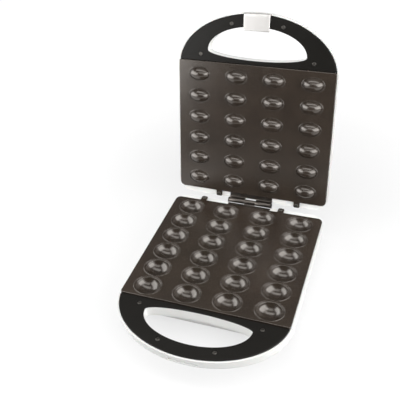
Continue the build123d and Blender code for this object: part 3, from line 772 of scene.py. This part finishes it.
plateBacking = {
    "ribs": (114.6, 117.0, 98.0),
    "ribEnd": 10.0,
    "tongues": (-72.0, 72.0),
    "tongue": (7.0, 98.0, 112.0, 4.4, 6.4),
    "posts": (60.5, 52.5, 4.0),
}


# Behind the face: the side ribs, the tongues that tuck under the frame and the strap posts
def plateBack(mesh, postEnd):
    inside, outside, end = plateBacking["ribs"]
    for way in (-1, 1):
        low, high = sorted((way * inside, way * outside))
        corners = [(low, -end, 1), (high, -end, 1), (high, end, 1), (low, end, 1)]
        slab(mesh, [softCorners(corners)], 1.4, plateBacking["ribEnd"], 0.4)
    half, low, high, top, bottom = plateBacking["tongue"]
    for u in plateBacking["tongues"]:
        corners = [(u - half, low, 1), (u + half, low, 1), (u + half, high, 1), (u - half, high, 1)]
        slab(mesh, [softCorners(corners)], top, bottom, 0.3)
    across, along, radius = plateBacking["posts"]
    for u in (-across, across):
        for v in (-along, along):
            slab(mesh, [ringOf(u, v, radius, radius, 32)], 1.4, postEnd, 0.3)


moulds = mouldTree()
cookingPlate("lowerPlate", hollowRings(), True, baseHalf, "base", "lower_plate", 21.3)
cookingPlate("upperPlate", bumpRings(), False, lidHalf, "lid", "upper_plate", 10.0)
print("cooking plates made")


# Black frames round the finger openings

blackFrame = {
    "centre": 100.0,
    "halfWidth": 124.5,
    "reach": 84.7,
    "back": 108.3,
    "corner": 2.0,
    "top": 1.5,
    "bottom": 4.0,
    "edge": 0.8,
    "openingCentre": 126.0,
    "openingHalf": 78.0,
    "openingOuter": 39.5,
    "openingInner": 11.5,
    "notchHalf": 20.7,
    "notchStart": 176.5,
    "screws": ((-89.5, 118.5), (89.5, 118.5), (-40.0, 168.0), (40.0, 168.0)),
    "pocketRadius": 3.25,
    "pocketDepth": 2.5,
}


def frameOutline(notched):
    wide = blackFrame["halfWidth"]
    reach = blackFrame["reach"]
    centre = blackFrame["centre"]
    lift = (blackFrame["back"] - centre) / reach
    corners = [(-wide * sqrt(1 - lift ** 2), blackFrame["back"], blackFrame["corner"])]
    corners += [(wide * sqrt(1 - lift ** 2), blackFrame["back"], blackFrame["corner"])]
    notch = blackFrame["notchHalf"]
    steps = 96
    cut = False
    for k in range(4, steps - 3):
        u = wide * cos(pi * k / steps)
        if notched and abs(u) < notch + 1:
            if not cut:
                edge = centre + reach * sqrt(1 - (notch / wide) ** 2)
                corners += [(notch, edge, 0.5), (notch, blackFrame["notchStart"], 0.6)]
                corners += [(-notch, blackFrame["notchStart"], 0.6), (-notch, edge, 0.5)]
            cut = True
            continue
        corners.append((u, centre + reach * sin(pi * k / steps), 0))
    return softCorners(corners)


def openingOutline():
    half = blackFrame["openingHalf"]
    centre = blackFrame["openingCentre"]
    loop = []
    for u, rise in ringOf(0, 0, half, 1, 128, -1):
        loop.append((u, centre + rise * blackFrame["openingOuter" if rise > 0 else "openingInner"]))
    return loop


def handleFrame(name, notched, place, body, node):
    mesh = bmesh.new()
    radius = blackFrame["pocketRadius"]
    depth = blackFrame["pocketDepth"]
    pockets = [(u, v, radius, depth) for u, v in blackFrame["screws"]]
    outlines = [frameOutline(notched), openingOutline()]
    slab(mesh, outlines, blackFrame["top"], blackFrame["bottom"], blackFrame["edge"], pockets)
    return addPiece(name, closeMesh(mesh, name), place, body, "black_frame", node)


handleFrame("baseFrame", False, baseHalf, "base", "base_handle_frame")
handleFrame("lidFrame", True, lidHalf, "lid", "lid_handle_frame")
print("handle frames made")


# Screws with a crossed slot

frameScrew = {
    "head": 2.9,
    "height": 0.95,
    "shank": 1.25,
    "length": 9.5,
    "seat": 2.5,
    "slot": 0.45,
    "arm": 1.75,
}
plateScrew = {
    "head": 3.0,
    "height": 1.9,
    "shank": 1.5,
    "length": 9.5,
    "seat": 0.0,
    "slot": 0.5,
    "arm": 1.8,
}


def crossScrew(sizes):
    head = sizes["head"]
    height = sizes["height"]
    shank = sizes["shank"]
    length = sizes["length"]
    mesh = bmesh.new()
    rows = (
        (0.7 * head, -height),
        (0.76 * head, -height),
        (0.87 * head, -0.92 * height),
        (0.95 * head, -0.7 * height),
        (head, -0.35 * height),
        (head, 0),
        (shank, 0.01),
        (shank, length - 1),
        (0.4 * shank, length),
    )
    rings = [ringAt(mesh, ringOf(0, 0, radius, radius, 32), depth) for radius, depth in rows]
    bridge(mesh, rings)
    cap(mesh, [rings[-1]])
    slot = sizes["slot"]
    arm = sizes["arm"]
    quarter = [(arm, -slot), (arm, slot), (slot, slot)]
    cross = []
    for k in range(4):
        turn = Matrix.Rotation(k * pi / 2, 2)
        cross += [tuple(turn @ Vector(point)) for point in quarter]
    cross.reverse()
    rim = ringAt(mesh, cross, -height)
    floor = ringAt(mesh, drawnIn(cross, -0.12), 0.75 - height)
    bridge(mesh, [rim, floor])
    cap(mesh, [rings[0], rim])
    cap(mesh, [floor])
    return closeMesh(mesh, "crossScrew")


def screwSet(name, sizes, places, place, body, node, seed):
    points = bpy.data.meshes.new("points")
    points.from_pydata([(u, v, sizes["seat"]) for u, v in places], [], [])
    steel = finishes["bright_steel"]
    data = repeated(screwPlaces, crossScrew(sizes), points, Seed=seed, Finish=steel)
    return addPiece(name, data, place, body, "bright_steel", node)


screwPlaces = screwTree()
earPlaces = [(u, -113.0) for u in plate["ears"]]
screwSet("baseFrameScrews", frameScrew, blackFrame["screws"], baseHalf, "base", "base_frame_screws", 3)
screwSet("lidFrameScrews", frameScrew, blackFrame["screws"], lidHalf, "lid", "lid_frame_screws", 7)
screwSet("lowerPlateScrews", plateScrew, earPlaces, baseHalf, "base", "lower_plate_screws", 11)
screwSet("upperPlateScrews", plateScrew, earPlaces, lidHalf, "lid", "upper_plate_screws", 13)
print("screws made")


# Hinge: rolled knuckles on a pin, each with a web down to its leaf under the plate

hingeParts = {
    "barrel": 4.0,
    "bore": 2.36,
    "leafTop": 3.5,
    "leafBottom": 5.0,
    "leafBack": -115.8,
    "leafFront": -105.2,
    "webFront": -116.3,
    "webBack": -118.3,
    "half": 36.0,
    "middle": 9.0,
    "gap": 0.4,
    "pin": 2.28,
    "pinHead": 4.3,
    "pinEnd": 37.5,
    "screws": ((-22.0, -110.2), (22.0, -110.2)),
    "screwHole": 2.75,
}


def knuckle(mesh, axisDepth, low, high):
    parts = hingeParts
    radius = parts["barrel"]
    corners = [
        (parts["leafBack"] + 1, parts["leafTop"], 0.3),
        (parts["leafBack"] + 1, parts["leafBottom"], 0.3),
        (parts["webBack"], parts["leafBottom"], 1.2),
    ]
    startAngle = pi / 3
    for k in range(37):
        angle = startAngle + (2 * pi - startAngle) * k / 36
        corners.append((-hinge["back"] + radius * cos(angle), axisDepth + radius * sin(angle), 0))
    corners.append((parts["webFront"], parts["leafTop"] - 1.0, 0.8))
    outline = softCorners(corners, 4)
    bore = ringOf(-hinge["back"], axisDepth, parts["bore"], parts["bore"], 40, -1)
    slab(mesh, [outline, bore], low, high, 0.3)


def hingeLeaf(name, axisDepth, knuckles, place, body, node):
    parts = hingeParts
    mesh = bmesh.new()
    for low, high in knuckles:
        part = bmesh.new()
        knuckle(part, axisDepth, low, high)
        bmesh.ops.transform(part, matrix=acrossHalf, verts=part.verts)
        joinInto(mesh, part)
    half = parts["half"]
    corners = [(-half, parts["leafBack"], 1), (half, parts["leafBack"], 1)]
    corners += [(half, parts["leafFront"], 2), (-half, parts["leafFront"], 2)]
    holes = [ringOf(u, v, parts["screwHole"], parts["screwHole"], 32, -1) for u, v in parts["screws"]]
    slab(mesh, [softCorners(corners), *holes], parts["leafTop"], parts["leafBottom"], 0.3)
    return addPiece(name, closeMesh(mesh, name), place, body, "hinge_steel", node)


def joinInto(mesh, part):
    data = bpy.data.meshes.new("part")
    part.to_mesh(data)
    part.free()
    mesh.from_mesh(data)
    bpy.data.meshes.remove(data)


def hingePin():
    parts = hingeParts
    mesh = bmesh.new()
    end = parts["pinEnd"]
    head = parts["pinHead"]
    headStart = end - 1.2
    rows = [(0.6, end), (2.8, end - 0.05), (3.8, end - 0.25), (head, end - 0.6)]
    rows += [(head, headStart + 0.1), (head - 0.15, headStart), (parts["pin"], headStart)]
    rows += [(radius, -along) for radius, along in reversed(rows)]
    rings = []
    for radius, along in rows:
        loop = ringOf(-hinge["back"], hinge["drop"], radius, radius, 40)
        rings.append(ringAt(mesh, loop, along))
    bridge(mesh, rings)
    mesh.faces.new(rings[0])
    mesh.faces.new(rings[-1])
    bmesh.ops.transform(mesh, matrix=acrossHalf, verts=mesh.verts)
    data = closeMesh(mesh, "hingePin")
    return addPiece("hingePin", data, baseHalf, "base", "hinge_steel", "hinge_pin")


outerKnuckle = hingeParts["middle"] + hingeParts["gap"]
sideKnuckles = ((-hingeParts["half"], -outerKnuckle), (outerKnuckle, hingeParts["half"]))
middleKnuckle = ((-hingeParts["middle"], hingeParts["middle"]),)
hingeLeaf("baseLeaf", hinge["drop"], middleKnuckle, baseHalf, "base", "hinge_base_leaf")
hingeLeaf(
    "lidLeaf", -hinge["closedGap"] - hinge["drop"], sideKnuckles, lidHalf, "lid", "hinge_lid_leaf"
)
hingePin()
print("hinge made")


# The folding clip at the end of the lid's handle

clip = {
    "half": 20.0,
    "pivot": (181.5, 6.3),
    "knuckle": 4.2,
    "bore": 1.56,
    "end": 159.5,
    "lip": 2.4,
    "lipDepth": 4.6,
    "outside": -1.5,
    "inside": 0.9,
    "bend": 3.9,
    "edge": 0.55,
}


def latchClip():
    pivotV, pivotW = clip["pivot"]
    radius = clip["knuckle"]
    corners = [
        (clip["end"], clip["outside"], 1.4),
        (pivotV + radius, clip["outside"], clip["bend"]),
    ]
    for k in range(28):
        angle = 1.5 * pi * k / 27
        corners.append((pivotV + radius * cos(angle), pivotW + radius * sin(angle), 0))
    corners += [
        (pivotV, clip["inside"], 0.5),
        (clip["end"] + clip["lip"], clip["inside"], 0.6),
        (clip["end"] + clip["lip"], clip["lipDepth"], 0.6),
        (clip["end"], clip["lipDepth"], 0.6),
    ]
    mesh = bmesh.new()
    bore = ringOf(pivotV, pivotW, clip["bore"], clip["bore"], 32, -1)
    slab(mesh, [softCorners(corners, 8), bore], -clip["half"], clip["half"], clip["edge"])
    bmesh.ops.transform(mesh, matrix=acrossHalf, verts=mesh.verts)
    data = closeMesh(mesh, "latchClip")
    return addPiece("latchClip", data, lidHalf, "latch", "clip_metal", "latch_clip")


latchClip()
print("latch clip made")


# Floor, light and camera

setting = {
    "floorRadius": 2.4,
    "floorColour": (0.26, 0.26, 0.26, 1),
    "nearLift": 0.64,
    "farLift": 0.92,
    "liftFrom": 0.25,
    "liftTo": 0.8,
    # The floor's glow is turned down towards the front: painted shade on the floor, which the plates
    # reflect as a dark front
    "frontFade": (-0.8, -0.35),
    "frontLift": 0.03,
    "horizon": 1.0,
    "ceiling": 0.12,
    "front": 0.05,
    "frontEdge": (0.35, 0.75),
    "boxes": (
        ("rightBox", (0.62, -0.2, 0.48), (1.0, 0.6), 4.2, True),
        ("leftBox", (-0.64, -0.24, 0.4), (0.95, 0.55), 3.6, True),
        ("topBox", (0.0, 0.05, 1.15), (1.3, 0.4), 2.6, True),
        ("browBox", (0.08, -0.62, 0.92), (0.8, 0.4), 1.8, True),
        ("frontFill", (0.15, -1.3, 0.4), (1.4, 0.7), 0.2, False),
    ),
    "aim": (0.0, 0.05, 0.1),
}


def addFloor():
    mesh = bmesh.new()
    rings = [ringAt(mesh, ringOf(0, 0, r, r, 64), -0.0002) for r in (setting["floorRadius"], 1.0, 0.3)]
    bridge(mesh, rings)
    cap(mesh, [rings[-1]])
    for face in mesh.faces:
        if face.normal.z < 0:
            face.normal_flip()
    data = bpy.data.meshes.new("floor")
    mesh.to_mesh(data)
    mesh.free()
    floor = bpy.data.objects.new("floor", data)
    scene.collection.objects.link(floor)
    finish = Finish("floorPaint")
    ways = finish.node("ShaderNodeLightPath")
    seen = ways.out("Is Camera Ray")
    for way in ("Is Glossy Ray", "Is Transmission Ray"):
        seen = finish.node("ShaderNodeMath", {"operation": "MAXIMUM"}, {0: seen, 1: ways.out(way)})
    length = finish.node("ShaderNodeVectorMath", {"operation": "LENGTH"}, {0: finish.place})
    far = finish.mask(length.out("Value"), setting["liftFrom"], setting["liftTo"])
    # Painted shade: the floor's glow fades to a few per cent towards the front
    along = finish.node("ShaderNodeSeparateXYZ", {}, {0: finish.place}).out("Y")
    behind = finish.mask(along, *setting["frontFade"])
    lift = seen * (setting["nearLift"] + far * (setting["farLift"] - setting["nearLift"]))
    lift = lift * (setting["frontLift"] + behind * (1 - setting["frontLift"]))
    finish.give(colour=setting["floorColour"], roughness=0.9, specular=0.0)
    glow = finish.between((0, 0, 0, 1), (1, 1, 1, 1), lift)
    finish.join(finish.shader.inputs["Emission Color"], glow)
    finish.shader.inputs["Emission Strength"].default_value = 1.0
    data.materials.append(finish.material)


# The room is white round the horizon, dimmer overhead and dark straight in front
def addRoom():
    world = bpy.data.worlds.new("room")
    scene.world = world
    world.use_nodes = True
    nodes = world.node_tree.nodes
    join = world.node_tree.links.new
    way = nodes.new("ShaderNodeTexCoord")
    parts = nodes.new("ShaderNodeSeparateXYZ")
    join(way.outputs["Generated"], parts.inputs[0])

    def blend(source, low, high, start, end):
        made = nodes.new("ShaderNodeMapRange")
        made.interpolation_type = "SMOOTHSTEP"
        for label, value in (("From Min", low), ("From Max", high), ("To Min", start), ("To Max", end)):
            made.inputs[label].default_value = value
        join(source, made.inputs["Value"])
        return made.outputs["Result"]

    def sum(operation, first, second=None):
        made = nodes.new("ShaderNodeMath")
        made.operation = operation
        join(first, made.inputs[0])
        if second:
            join(second, made.inputs[1])
        return made.outputs[0]

    level = blend(parts.outputs["Z"], 0.25, 0.6, setting["horizon"], setting["ceiling"])
    low, high = setting["frontEdge"]
    aside = blend(sum("ABSOLUTE", parts.outputs["X"]), low, high, setting["front"], 1)
    behind = blend(parts.outputs["Y"], -0.4, 0.1, 0, 1)
    background = nodes["Background"]
    background.inputs["Color"].default_value = (1, 1, 1, 1)
    join(sum("MULTIPLY", level, sum("MAXIMUM", aside, behind)), background.inputs["Strength"])


def addBoxes():
    for name, place, size, brightness, mirrored in setting["boxes"]:
        lamp = bpy.data.lights.new(name, "AREA")
        lamp.shape = "RECTANGLE"
        lamp.size, lamp.size_y = size
        lamp.energy = brightness * pi * size[0] * size[1]
        box = bpy.data.objects.new(name, lamp)
        box.location = place
        towards = Vector(setting["aim"]) - Vector(place)
        box.rotation_euler = towards.to_track_quat("-Z", "Y").to_euler()
        box.visible_camera = False
        box.visible_glossy = mirrored
        scene.collection.objects.link(box)


view = {
    "azimuth": 20.29,
    "elevation": 37.79,
    "roll": -4.44,
    "target": (-0.0423, 0.1994, 0.0),
    "distance": 1.0375,
    "focal": 582.1,
    "middle": (239.99, 169.96),
    "image": 400,
}


def addCamera():
    azimuth = radians(view["azimuth"])
    elevation = radians(view["elevation"])
    roll = radians(view["roll"])
    back = Vector((sin(azimuth) * cos(elevation), -cos(azimuth) * cos(elevation), sin(elevation)))
    level = (-back).cross(Vector((0, 0, 1))).normalized()
    upright = level.cross(-back)
    right = level * cos(roll) + upright * sin(roll)
    up = upright * cos(roll) - level * sin(roll)
    lens = bpy.data.cameras.new("camera")
    lens.sensor_width = 36
    lens.lens = view["focal"] / view["image"] * lens.sensor_width
    lens.shift_x = (view["image"] / 2 - view["middle"][0]) / view["image"]
    lens.shift_y = (view["middle"][1] - view["image"] / 2) / view["image"]
    camera = bpy.data.objects.new("camera", lens)
    place = baseHalf.translation + Vector(view["target"]) + back * view["distance"]
    turn = Matrix((right, up, back)).transposed().to_4x4()
    camera.matrix_world = Matrix.Translation(place) @ turn
    scene.collection.objects.link(camera)
    scene.camera = camera


addFloor()
addRoom()
addBoxes()
addCamera()
scene.view_settings.view_transform = "Standard"
print("setting made")
